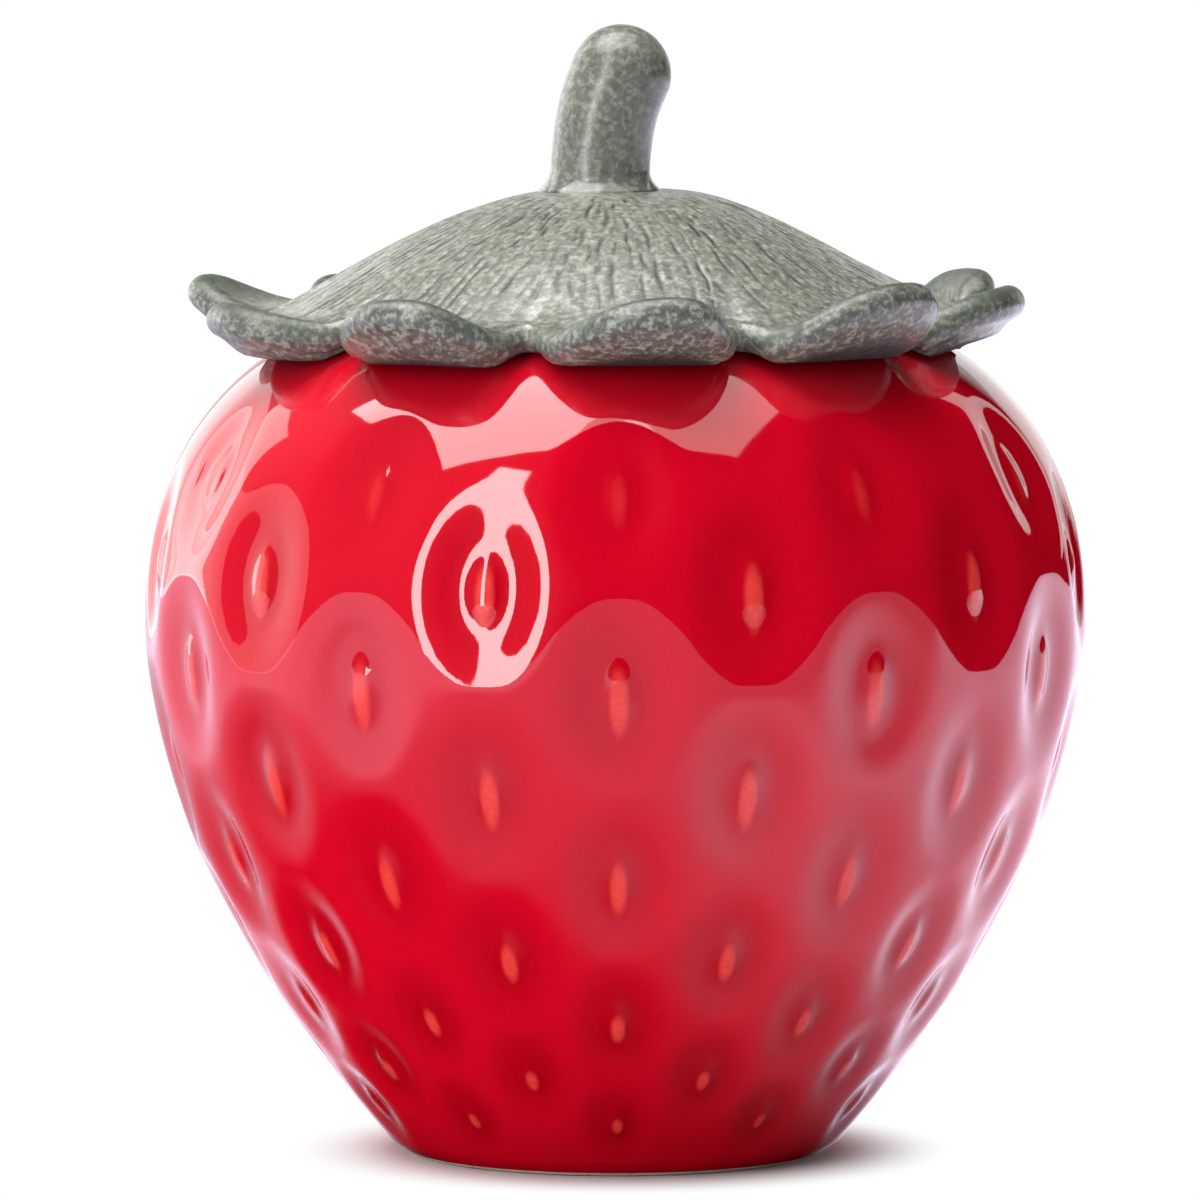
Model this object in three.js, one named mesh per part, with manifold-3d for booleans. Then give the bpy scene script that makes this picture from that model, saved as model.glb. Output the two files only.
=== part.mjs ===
// A lidded ceramic jar in the shape of a strawberry, in millimetres, +Z up.
// The origin is the centre of the foot, on the surface that the jar stands on, and -Y is the front.
// The berry is the jar. Its leafy calyx is the lid, with a stem for a knob and a soft seal round its spigot.
import * as THREE from "three";
import { mergeVertices } from "three/addons/utils/BufferGeometryUtils.js";
import Module from "manifold-3d";

const wasm = await Module();
wasm.setup();

// Clearances
const seatGap = 0.3; // between two pieces that rest on each other
const sepalGap = 0.7; // least gap between the sepals and the shoulder, so that the lid can turn

// Outside of the jar
const bellyRadius = 65; // widest ring of the berry
const bellyHeight = 75; // height of that ring
const flankFootRadius = 29.6; // the flank's curve, carried down to the ground
const flankPower = 1.92; // bow of the flank
const shoulderTopRadius = 27; // where the shoulder's curve would run level
const shoulderRise = 41.5; // that level point above the belly
const shoulderPower = 2.1; // fullness of the shoulder
const footRadius = 28.4; // outer edge of the foot ring
const footEdgeHeight = 2; // where the foot's rounded edge meets the flank
const footRingWidth = 4.6;
const footRecess = 1.6; // the base is raised inside the foot ring

// Inside and mouth of the jar
const wall = 4.8; // flank and belly
const neckThickening = 3.8; // more wall round the mouth, where the lid seats
const neckStartRadius = 60; // where that thickening begins on the shoulder
const floorThickness = 5;
const floorCove = 9; // round between the floor and the flank, inside
const mouthRadius = 37;
const rimWidth = 5.2;
const rimRound = 1; // softened edges of the rim
const neckDepth = 7.6; // length of the straight bore below the rim

// Dimples and seeds, measured at the belly: they shrink with the berry's girth
const columnCount = 11;
const rowCount = 9;
const rowsToFoot = 7.5; // rows between the belly and the foot
const rowsToTop = 1.585; // the top row's seeds lie this many rows above the belly
const dimpleDepth = 1.5;
const topRowShare = 0.45; // depth of the top row, which fades into the shoulder
const dishWidth = 12.5; // floor of a dimple
const dishLength = 19;
const seedWidth = 3.6;
const seedLength = 9.6;
const seedHeight = 1.2; // above the floor of its dimple
const latticeTurn = 1.1; // degrees, front column off the front

// Calyx lid
const calyxThickness = 4.9;
const crownRise = 17.5; // top of the crown above the valley behind the sepals
const crownPower = 1.2; // bow of the crown
const notchOverhang = 4; // notches between the sepals, outside the rim
const valleyOverhang = 5.3; // valley behind the sepals, outside the rim
const seatMargin = 0.6; // flat seat under the lid, outside the rim
const sepalRoundness = 2.6; // higher is blunter
const calyxTurn = 3; // degrees, front sepal off the front
// Sepals from the front one towards +X: length past the notches, lift and lean (degrees) of the tip,
// and curl: 1 rises straight, higher turns up only near the tip
const sepals = [
  { length: 13.2, lift: 8.6, lean: 5, curl: 2 },
  { length: 13.9, lift: 9.4, lean: 6, curl: 1.6 },
  { length: 10.8, lift: 6.4, lean: 3, curl: 1 },
  { length: 11.0, lift: 7.4, lean: 5, curl: 0.9 },
  { length: 12.6, lift: 6.0, lean: -3, curl: 1.6 },
  { length: 13.2, lift: 6.8, lean: 2, curl: 1.8 },
  { length: 12.4, lift: 5.0, lean: 5, curl: 1.6 },
  { length: 14.0, lift: 7.2, lean: 5, curl: 2 },
  { length: 12.8, lift: 3.4, lean: 1, curl: 1.8 },
  { length: 13.0, lift: 7.4, lean: 3, curl: 2 },
];

// Spigot under the lid, and the seal in its groove
const spigotClearance = 0.8; // to the bore of the mouth
const spigotWall = 4.2;
const spigotDepth = 9.6; // below the seat
const spigotRound = 0.8;
const grooveDepth = 2;
const grooveDrop = 2.2; // top of the groove below the seat
const sealHeight = 4.6;
const sealBand = 0.9; // thickness of the seal between its fins
const finCount = 2;
const finRoot = 1.5; // thickness of a fin at the band
const finTip = 0.7;

// Stem
const stemOffset = -2; // foot of the stem along X
const stemLean = 2.9; // how far the tip leans back towards +X
const stemHeight = 22.6;
const stemFootRadius = 8.2;
const stemShaftRadius = 6.7;
const stemTipRadius = 6.9;
const stemFlare = 3.4; // height of the flare at the foot
const landingMargin = 0.4; // flat on the crown round the foot

// Fineness of the meshes
const climbSteps = 60;
const shoulderRings = 3;
const cavityRings = 12;
const roundSegments = 44;
const sealSegments = 60;
const stemSides = 16;
const stemRings = 7;
const tipRings = 3;

const rimRadius = mouthRadius + rimWidth;
const notchRadius = rimRadius + notchOverhang;
const valleyRadius = rimRadius + valleyOverhang;
const landingRadius = stemFootRadius + Math.abs(stemOffset) + landingMargin;

// Point at a radius and a height, turned from the front (-Y) towards +X.
function polar(radius, turn, height) {
  return new THREE.Vector3(radius * Math.sin(turn), -radius * Math.cos(turn), height);
}

// Closed BufferGeometry from points and triples of their indices.
function meshFrom(points, triangles) {
  const geometry = new THREE.BufferGeometry().setFromPoints(points);
  geometry.setIndex(triangles);
  return geometry;
}

// Solid between rings of equal length, the first and the last of which have shrunk to one point.
// The rings run from the top pole over the outside to the bottom pole.
function loft(topPole, rings, bottomPole) {
  const sides = rings[0].length;
  const points = [topPole, ...rings.flat(), bottomPole];
  const triangles = [];
  const last = points.length - 1;
  const lastRing = last - sides;
  for (let side = 0; side < sides; side++) {
    const next = (side + 1) % sides;
    triangles.push(0, 1 + side, 1 + next);
    for (let start = 1; start < lastRing; start += sides) {
      const below = start + sides;
      triangles.push(start + side, below + side, below + next);
      triangles.push(start + side, below + next, start + next);
    }
    triangles.push(last, lastRing + next, lastRing + side);
  }
  return meshFrom(points, triangles);
}

// Turned solid about Z from a profile of [radius, height], which runs up the outside.
function turned(profile, segments) {
  const points = profile.map(([radius, height]) => new THREE.Vector2(radius, height));
  return new THREE.LatheGeometry(points, segments).rotateX(Math.PI / 2);
}

// Manifold solid of a closed geometry.
function solidOf(geometry) {
  const bare = new THREE.BufferGeometry().setAttribute("position", geometry.getAttribute("position"));
  bare.setIndex(geometry.index);
  const merged = mergeVertices(bare, 1e-4);
  const vertProperties = new Float32Array(merged.attributes.position.array);
  const triVerts = new Uint32Array(merged.index.array);
  return new wasm.Manifold(new wasm.Mesh({ numProp: 3, vertProperties, triVerts }));
}

// BufferGeometry of a manifold solid.
function geometryOf(solid) {
  const { vertProperties, triVerts } = solid.getMesh();
  const geometry = new THREE.BufferGeometry();
  geometry.setAttribute("position", new THREE.BufferAttribute(vertProperties, 3));
  geometry.setIndex(new THREE.BufferAttribute(triVerts, 1));
  return geometry;
}

// Smooth step from 0 at one end to 1 at the other.
function ease(value, from, to) {
  const share = Math.min(1, Math.max(0, (value - from) / (to - from)));
  return share * share * (3 - 2 * share);
}

// Radius of the smooth berry skin at a height: a power curve below the belly, a superellipse above it.
function skinRadius(height) {
  if (height < bellyHeight) {
    return bellyRadius - (bellyRadius - flankFootRadius) * (1 - height / bellyHeight) ** flankPower;
  }
  const rise = Math.min(1, (height - bellyHeight) / shoulderRise);
  const reach = (1 - rise ** shoulderPower) ** (1 / shoulderPower);
  return shoulderTopRadius + (bellyRadius - shoulderTopRadius) * reach;
}

// Height of the shoulder at a radius.
function shoulderHeight(radius) {
  const reach = Math.min(1, (radius - shoulderTopRadius) / (bellyRadius - shoulderTopRadius));
  return bellyHeight + shoulderRise * (1 - reach ** shoulderPower) ** (1 / shoulderPower);
}

// Change of the skin's radius with height.
function skinSlope(height) {
  const span = 0.01;
  return (skinRadius(height + span) - skinRadius(height - span)) / (2 * span);
}

// Climb measures the way up the skin in units of the local radius, so that a pattern with equal steps
// of climb and of turn keeps its proportions while it shrinks with the girth. It is 0 at the belly.
function climbAtHeight(height) {
  const step = (height - bellyHeight) / climbSteps;
  let climb = 0;
  for (let i = 0; i < climbSteps; i++) {
    const middle = bellyHeight + step * (i + 0.5);
    climb += (step * Math.hypot(1, skinSlope(middle))) / skinRadius(middle);
  }
  return climb;
}

function heightAtClimb(climb) {
  const step = climb / climbSteps;
  let height = bellyHeight;
  for (let i = 0; i < climbSteps; i++) {
    const rate = skinRadius(height) / Math.hypot(1, skinSlope(height));
    const middle = height + (step * rate) / 2;
    height += (step * skinRadius(middle)) / Math.hypot(1, skinSlope(middle));
  }
  return height;
}

// Profile point of the skin at a height, set in along its normal.
function insetSkin(height, inset) {
  const slope = skinSlope(height);
  const unit = 1 / Math.hypot(1, slope);
  return [skinRadius(height) - inset * unit, height + inset * slope * unit];
}

// The lid's heights are counted from its valley, the low ring between the crown and the upturned tips.
function crownTop(radius) {
  const share = Math.min(1, Math.max(radius, landingRadius) / valleyRadius);
  return crownRise * (1 - share ** 2) ** crownPower;
}

// Height of the lid's upper face along a sepal.
function calyxTop(radius, { length, lift, curl }) {
  const past = Math.max(0, radius - valleyRadius) / (notchRadius + length - valleyRadius);
  return crownTop(radius) + lift * past ** curl;
}

// The valley lies as low as the sepals can hang over the shoulder with their gap.
function valleyOverShoulder() {
  const samples = 40;
  let valley = 0;
  for (let i = 0; i <= samples; i++) {
    const radius = rimRadius + (valleyOverhang * i) / samples;
    valley = Math.max(valley, shoulderHeight(radius) + sepalGap - crownTop(radius) + calyxThickness);
  }
  return valley;
}

const valleyHeight = valleyOverShoulder();
const seatDrop = calyxThickness - crownTop(rimRadius + seatMargin); // flat seat below the valley
const seatHeight = valleyHeight - seatDrop;
const rimHeight = seatHeight - seatGap;

// Lattice of dimples: vertices lie on a grid of twelfths of a column and halves of a row.
const columnTurn = (2 * Math.PI) / columnCount;
const rowClimb = -climbAtHeight(footEdgeHeight) / rowsToFoot;
const topRowClimb = rowClimb * rowsToTop;
const frontTurn = THREE.MathUtils.degToRad(latticeTurn);
// Outline of a cell round its seed, in that grid. Cells of alternate rows interlock.
const cellOutline = [
  [4, 0],
  [3, 1],
  [2, 2],
  [0, 2],
  [-2, 2],
  [-3, 1],
  [-4, 0],
  [-3, -1],
  [-2, -2],
  [0, -2],
  [2, -2],
  [3, -1],
];
// Where the lattice's upper and lower edges have their points, in one column: [twelfths, halves].
const latticeEdge = [
  [-4, 0],
  [-3, 1],
  [-2, 2],
  [0, 2],
  [2, 2],
  [3, 1],
  [4, 0],
  [6, 0],
];

// Berry skin with its dimples and seeds, closed across the rim and under the foot.
function berrySkin() {
  const points = [];
  const triangles = [];
  const known = new Map();

  const place = (key, makePoint) => {
    if (!known.has(key)) known.set(key, points.push(makePoint()) - 1);
    return known.get(key);
  };
  const skinPoint = (turn, climb, inset) => {
    const height = heightAtClimb(climb);
    const [radius, z] = insetSkin(height, (inset * skinRadius(height)) / bellyRadius);
    return polar(radius, frontTurn + turn, z);
  };
  const latticeCorner = (twelfths, halves) => {
    const round = ((twelfths % (12 * columnCount)) + 12 * columnCount) % (12 * columnCount);
    const turn = (round * columnTurn) / 12;
    const climb = topRowClimb + (halves * rowClimb) / 2;
    return place(`lattice ${round} ${halves}`, () => skinPoint(turn, climb, 0));
  };
  const quad = (a, b, c, d) => triangles.push(a, b, c, a, c, d);

  // One dimple: its outline, the oval edge of its floor, and its seed.
  function dimple(twelfths, halves, depth) {
    const turn = (twelfths * columnTurn) / 12;
    const climb = topRowClimb + (halves * rowClimb) / 2;
    const oval = (width, length, inset, count) =>
      Array.from({ length: count }, (_, i) => {
        const angle = (i * 2 * Math.PI) / count;
        const across = (width / 2 / bellyRadius) * Math.cos(angle);
        const along = (length / 2 / bellyRadius) * Math.sin(angle);
        return points.push(skinPoint(turn + across, climb + along, inset)) - 1;
      });
    const outline = cellOutline.map(([u, v]) => latticeCorner(twelfths + u, halves + v));
    const dish = oval(dishWidth, dishLength, depth, outline.length);
    const seed = oval(seedWidth, seedLength, depth, outline.length / 2);
    const tip = points.push(skinPoint(turn, climb, depth - seedHeight * (depth / dimpleDepth))) - 1;
    for (let i = 0; i < outline.length; i++) {
      const next = (i + 1) % outline.length;
      quad(outline[i], outline[next], dish[next], dish[i]);
    }
    for (let i = 0; i < seed.length; i++) {
      const next = (i + 1) % seed.length;
      const after = (2 * i + 2) % dish.length;
      triangles.push(seed[i], dish[2 * i], dish[2 * i + 1]);
      triangles.push(seed[i], dish[2 * i + 1], seed[next]);
      triangles.push(seed[next], dish[2 * i + 1], dish[after]);
      triangles.push(seed[i], seed[next], tip);
    }
  }
  for (let row = 0; row < rowCount; row++) {
    const depth = row ? dimpleDepth : dimpleDepth * topRowShare;
    for (let column = 0; column < columnCount; column++) {
      dimple(12 * column + 6 * (row % 2), -2 * row, depth);
    }
  }

  // Edge of the lattice, and plain rings with a point on each of its turns.
  const edge = (halvesOf) =>
    Array.from({ length: columnCount }, (_, column) =>
      latticeEdge.map(([u, v]) => latticeCorner(12 * column + u, halvesOf(v))),
    ).flat();
  const ring = ([radius, z]) =>
    Array.from({ length: columnCount }, (_, column) =>
      latticeEdge.map(([u]) => {
        const turn = frontTurn + ((12 * column + u) * columnTurn) / 12;
        return points.push(polar(radius, turn, z)) - 1;
      }),
    ).flat();
  const band = (upper, lower) => {
    for (let i = 0; i < upper.length; i++) {
      const next = (i + 1) % upper.length;
      quad(upper[i], lower[i], lower[next], upper[next]);
    }
  };

  // Shoulder and rim, from the lattice up to the middle of the mouth.
  const edgeClimb = topRowClimb + rowClimb;
  const rimClimb = climbAtHeight(shoulderHeight(rimRadius));
  let lower = edge((v) => v);
  const climbing = Array.from({ length: shoulderRings }, (_, i) => {
    const share = (i + 1) / shoulderRings;
    return insetSkin(heightAtClimb(edgeClimb + (rimClimb - edgeClimb) * share), 0);
  });
  for (const profilePoint of [...climbing, [rimRadius - rimRound, rimHeight]]) {
    const upper = ring(profilePoint);
    band(upper, lower);
    lower = upper;
  }
  const top = points.push(new THREE.Vector3(0, 0, rimHeight)) - 1;
  lower.forEach((point, i) => triangles.push(point, lower[(i + 1) % lower.length], top));

  // Foot, from the lattice down to the middle of the base.
  let upper = edge((v) => -2 * (rowCount - 1) - v);
  const footInner = footRadius - footRingWidth;
  const footProfile = [
    [footRadius, 0],
    [footInner, 0],
    [footInner - footRecess, footRecess],
  ];
  for (const profilePoint of footProfile) {
    const below = ring(profilePoint);
    band(upper, below);
    upper = below;
  }
  const base = points.push(new THREE.Vector3(0, 0, footRecess)) - 1;
  upper.forEach((point, i) => triangles.push(upper[(i + 1) % upper.length], point, base));
  return meshFrom(points, triangles);
}

// Hollow of the jar, from the floor up through the mouth.
function cavity() {
  const floor = footRecess + floorThickness;
  const [flankRadius] = insetSkin(floor + floorCove, wall);
  const profile = [
    [0, floor],
    [flankRadius - floorCove, floor],
    [flankRadius - floorCove * (1 - Math.SQRT1_2), floor + floorCove * (1 - Math.SQRT1_2)],
  ];
  const lowest = climbAtHeight(floor + floorCove);
  const highest = climbAtHeight(shoulderHeight(rimRadius));
  for (let i = 0; i <= cavityRings; i++) {
    const height = heightAtClimb(lowest + ((highest - lowest) * i) / cavityRings);
    const onShoulder = height > bellyHeight ? ease(skinRadius(height), neckStartRadius, rimRadius) : 0;
    const [radius, z] = insetSkin(height, wall + neckThickening * onShoulder);
    if (radius > mouthRadius && z < rimHeight - neckDepth) profile.push([radius, z]);
  }
  profile.push([mouthRadius, rimHeight - neckDepth]);
  profile.push([mouthRadius, rimHeight - rimRound]);
  profile.push([mouthRadius + 2 * rimRound, rimHeight + rimRound]);
  profile.push([0, rimHeight + rimRound]);
  return turned(profile, roundSegments);
}

function jarBody() {
  return geometryOf(solidOf(berrySkin()).subtract(solidOf(cavity())));
}

// Radial lines round the calyx: from the notch before each sepal, over its tip, towards the next notch.
function calyxLines() {
  const sector = (2 * Math.PI) / sepals.length;
  const shares = [1, 0.88, 0.62, 0.32, 0, -0.32, -0.62, -0.88]; // of the way from the tip to a notch
  return sepals.flatMap((sepal, index) => {
    const middle = THREE.MathUtils.degToRad(calyxTurn) + index * sector;
    const tipTurn = THREE.MathUtils.degToRad(sepal.lean);
    return shares.map((share) => {
      const notchTurn = (share > 0 ? -sector : sector) / 2;
      const turn = middle + tipTurn + (notchTurn - tipTurn) * Math.abs(share);
      const edgeRadius = notchRadius + sepal.length * (1 - Math.abs(share) ** sepalRoundness);
      return { turn, edgeRadius, sepal };
    });
  });
}

// Calyx: crown, sepals and spigot, with the lid's valley at height 0.
function calyx() {
  const lines = calyxLines();
  const half = calyxThickness / 2;
  const seatRadius = rimRadius + seatMargin;
  const spigotRadius = mouthRadius - spigotClearance;
  const spigotInner = spigotRadius - spigotWall;
  const grooveTop = -seatDrop - grooveDrop;
  const grooveBottom = grooveTop - sealHeight - 2 * seatGap;
  const spigotEnd = -seatDrop - spigotDepth;

  const around = (pointOf) => lines.map((line) => {
    const [radius, height] = pointOf(line);
    return polar(radius, line.turn, height);
  });
  const round = (radius, height) => around(() => [radius, height]);
  // Upper face, out to where the rounded edge of the sepal begins.
  const upper = (share, from) => around(({ edgeRadius, sepal }) => {
    const radius = from + (edgeRadius - half - from) * share;
    return [radius, calyxTop(radius, sepal)];
  });
  const edge = (angle) => around(({ edgeRadius, sepal }) => {
    const radius = edgeRadius - half;
    const middle = calyxTop(radius, sepal) - half;
    return [radius + half * Math.cos(angle), middle + half * Math.sin(angle)];
  });
  const under = (share) => around(({ edgeRadius, sepal }) => {
    const radius = seatRadius + (edgeRadius - half - seatRadius) * share;
    return [radius, calyxTop(radius, sepal) - calyxThickness];
  });

  const crownEdge = spigotRadius; // last round ring of the crown
  const crownShares = [0.3, 0.55, 0.8, 1];
  const crownRings = crownShares.map((share) => {
    const radius = landingRadius + (crownEdge - landingRadius) * share;
    return round(radius, crownTop(radius));
  });
  const hollowRings = [1, 0.75, 0.5].map((share) => {
    const radius = spigotInner * share;
    return round(radius, crownTop(radius) - calyxThickness);
  });
  const rings = [
    round(landingRadius, crownTop(0)),
    ...crownRings,
    upper(0.35, crownEdge),
    upper(0.7, crownEdge),
    upper(1, crownEdge),
    edge(Math.PI / 4),
    edge(0),
    edge(-Math.PI / 4),
    under(1),
    under(0.5),
    round(seatRadius, -seatDrop),
    round(spigotRadius, -seatDrop),
    round(spigotRadius, grooveTop),
    round(spigotRadius - grooveDepth, grooveTop),
    round(spigotRadius - grooveDepth, grooveBottom),
    round(spigotRadius, grooveBottom),
    round(spigotRadius, spigotEnd + spigotRound),
    round(spigotRadius - spigotRound, spigotEnd),
    round(spigotInner, spigotEnd),
    ...hollowRings,
  ];
  const crownMiddle = new THREE.Vector3(0, 0, crownTop(0));
  const hollowMiddle = new THREE.Vector3(0, 0, crownTop(0) - calyxThickness);
  return loft(crownMiddle, rings, hollowMiddle);
}

// Seal: a band in the groove with fins that reach out to the bore, with its top at height 0.
function sealRing() {
  const inner = mouthRadius - spigotClearance - grooveDepth + seatGap;
  const band = inner + sealBand;
  const finReach = mouthRadius - seatGap;
  const pitch = sealHeight / finCount;
  const profile = [
    [inner, -sealHeight],
    [band, -sealHeight],
  ];
  for (let fin = 0; fin < finCount; fin++) {
    const middle = -sealHeight + pitch * (fin + 0.5);
    profile.push([band, middle - finRoot / 2], [finReach, middle - finTip / 2]);
    profile.push([finReach, middle + finTip / 2], [band, middle + finRoot / 2]);
  }
  profile.push([band, 0], [inner, 0], [inner, -sealHeight]);
  return turned(profile, sealSegments);
}

// Stem: a leaning round knob with a flared foot and a domed tip, with its foot at height 0.
function stem() {
  const shaftEnd = stemHeight - stemTipRadius;
  const spine = new THREE.CubicBezierCurve3(
    new THREE.Vector3(0, 0, 0),
    new THREE.Vector3(0, 0, shaftEnd * 0.5),
    new THREE.Vector3(stemLean * 0.35, 0, shaftEnd * 0.75),
    new THREE.Vector3(stemLean, 0, shaftEnd),
  );
  const ringAt = (centre, tangent, radius) => {
    const side = new THREE.Vector3(0, -1, 0);
    const across = new THREE.Vector3().crossVectors(tangent, side).normalize();
    return Array.from({ length: stemSides }, (_, i) => {
      const angle = (i * 2 * Math.PI) / stemSides;
      const sideways = across.clone().multiplyScalar(-radius * Math.cos(angle));
      return centre.clone().add(sideways).addScaledVector(side, radius * Math.sin(angle));
    });
  };
  const rings = [];
  for (let i = 0; i <= stemRings; i++) {
    const share = (i / stemRings) ** 1.4; // closer together in the flare
    const centre = spine.getPoint(share);
    const flare = Math.max(0, 1 - centre.z / stemFlare) ** 2;
    const shaft = stemShaftRadius + (stemTipRadius - stemShaftRadius) * share;
    const tangent = i ? spine.getTangent(share) : new THREE.Vector3(0, 0, 1);
    rings.push(ringAt(centre, tangent, shaft + (stemFootRadius - stemShaftRadius) * flare));
  }
  const tipCentre = spine.getPoint(1);
  const tipTangent = spine.getTangent(1);
  for (let i = 1; i <= tipRings; i++) {
    const angle = (i * Math.PI) / 2 / (tipRings + 1);
    const centre = tipCentre.clone().addScaledVector(tipTangent, stemTipRadius * Math.sin(angle));
    rings.push(ringAt(centre, tipTangent, stemTipRadius * Math.cos(angle)));
  }
  const tip = tipCentre.clone().addScaledVector(tipTangent, stemTipRadius);
  return loft(tip, rings.reverse(), new THREE.Vector3(0, 0, 0));
}

const redGlaze = new THREE.MeshStandardMaterial({ color: 0xc8101e, roughness: 0.08, metalness: 0 });
const greenGlaze = new THREE.MeshStandardMaterial({ color: 0x7d8a76, roughness: 0.35, metalness: 0 });
const stemGlaze = new THREE.MeshStandardMaterial({ color: 0x6f7a6a, roughness: 0.3, metalness: 0 });
const silicone = new THREE.MeshStandardMaterial({ color: 0xe9e7e1, roughness: 0.6, metalness: 0 });

function named(name, geometry, material) {
  geometry.computeVertexNormals();
  const mesh = new THREE.Mesh(geometry, material);
  mesh.name = name;
  return mesh;
}

const jar = new THREE.Group();
jar.add(named("jar_body", jarBody(), redGlaze));

const lid = new THREE.Group();
lid.position.z = valleyHeight;
lid.add(named("lid_calyx", calyx(), greenGlaze));

const seal = named("seal_ring", sealRing(), silicone);
seal.position.z = -seatDrop - grooveDrop - seatGap;
lid.add(seal);

const knob = named("stem_knob", stem(), stemGlaze);
knob.position.set(stemOffset, 0, crownTop(0) + seatGap);
lid.add(knob);
jar.add(lid);

export default jar;
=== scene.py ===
import math
import bpy
import numpy as np
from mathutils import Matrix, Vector


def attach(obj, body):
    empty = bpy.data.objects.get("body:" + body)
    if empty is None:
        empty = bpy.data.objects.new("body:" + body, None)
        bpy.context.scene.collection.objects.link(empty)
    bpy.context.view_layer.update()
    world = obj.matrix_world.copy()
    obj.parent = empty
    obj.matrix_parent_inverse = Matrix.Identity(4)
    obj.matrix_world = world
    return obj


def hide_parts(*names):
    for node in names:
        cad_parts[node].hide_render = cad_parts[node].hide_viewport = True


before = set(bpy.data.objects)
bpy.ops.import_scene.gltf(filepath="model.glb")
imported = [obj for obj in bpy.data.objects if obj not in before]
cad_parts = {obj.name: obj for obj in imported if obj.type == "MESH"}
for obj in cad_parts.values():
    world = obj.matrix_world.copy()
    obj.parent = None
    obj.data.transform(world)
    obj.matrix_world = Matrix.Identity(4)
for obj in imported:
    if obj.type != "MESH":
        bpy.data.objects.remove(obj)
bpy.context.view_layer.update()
print("frame loaded:", ", ".join(sorted(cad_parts)))

mm = 0.001  # sizes of the pieces are millimetres, and go to metres in loftMesh
fullTurn = 2 * math.pi


# rises smoothly from 0 at the first bound to 1 at the second
def ease(value, start, end):
    share = np.clip((value - start) / (end - start), 0, 1)
    return share * share * (3 - 2 * share)


# ring of points at turns counted from the front (-Y) towards +X
def ringAt(turns, radius, height):
    radius, height = np.broadcast_arrays(radius, height, turns)[:2]
    return np.stack([radius * np.sin(turns), -radius * np.cos(turns), height], axis=1)


def pole(height, x=0.0):
    return np.array([[x, 0.0, height]])


# rings of a skin, from the bottom round the outside, with the marks that the finishes read
class RingStack:
    def __init__(self, *marks):
        self.rings = []
        self.slots = []
        self.marks = {mark: [] for mark in marks}

    # slot is the finish of the band that leads up to this ring
    def add(self, ring, slot=0, **values):
        self.rings.append(ring)
        self.slots.append(slot)
        for mark, column in self.marks.items():
            column.append(values.get(mark, 0.0))

    # for a stack of one finish that was laid from the top down
    def flip(self):
        for column in (self.rings, *self.marks.values()):
            column.reverse()


# one smooth skin over the rings
def loftMesh(name, stack, finishes):
    rings = stack.rings
    starts = np.cumsum([0] + [len(ring) for ring in rings])
    faces, slots = [], []
    for level in range(len(rings) - 1):
        here, there = int(starts[level]), int(starts[level + 1])
        sides = max(len(rings[level]), len(rings[level + 1]))
        for i in range(sides):
            j = (i + 1) % sides
            if len(rings[level]) == 1:
                faces.append((here, there + j, there + i))
            elif len(rings[level + 1]) == 1:
                faces.append((here + i, here + j, there))
            else:
                faces.append((here + i, here + j, there + j, there + i))
        slots += [stack.slots[level + 1]] * sides
    mesh = bpy.data.meshes.new(name)
    mesh.from_pydata((np.concatenate(rings) * mm).tolist(), [], faces)
    mesh.polygons.foreach_set("material_index", slots)
    mesh.shade_smooth()
    for mark, values in stack.marks.items():
        spread = [np.broadcast_to(value, len(ring)) for value, ring in zip(values, rings)]
        layer = mesh.attributes.new(mark, "FLOAT", "POINT")
        layer.data.foreach_set("value", np.concatenate(spread).astype(np.float32))
    for finish in finishes:
        mesh.materials.append(finish)
    piece = bpy.data.objects.new(name, mesh)
    bpy.context.collection.objects.link(piece)
    print("made", name, "with", len(faces), "faces")
    return piece


# a socket that works like a number: each operator adds a Math node
class Wire:
    def __init__(self, sheet, socket):
        self.sheet = sheet
        self.socket = socket

    def sum(self, operation, first, second):
        return self.sheet.node("ShaderNodeMath", {"operation": operation}, {0: first, 1: second})

    def __add__(self, other):
        return self.sum("ADD", self, other)

    def __radd__(self, other):
        return self.sum("ADD", other, self)

    def __sub__(self, other):
        return self.sum("SUBTRACT", self, other)

    def __rsub__(self, other):
        return self.sum("SUBTRACT", other, self)

    def __mul__(self, other):
        return self.sum("MULTIPLY", self, other)

    def __rmul__(self, other):
        return self.sum("MULTIPLY", other, self)

    def between(self, low, high):
        settings = {"interpolation_type": "SMOOTHSTEP"}
        return self.sheet.node("ShaderNodeMapRange", settings, {0: self, 1: low, 2: high})

    # another output of the same node
    def other(self, name):
        return Wire(self.sheet, self.socket.node.outputs[name])


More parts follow.
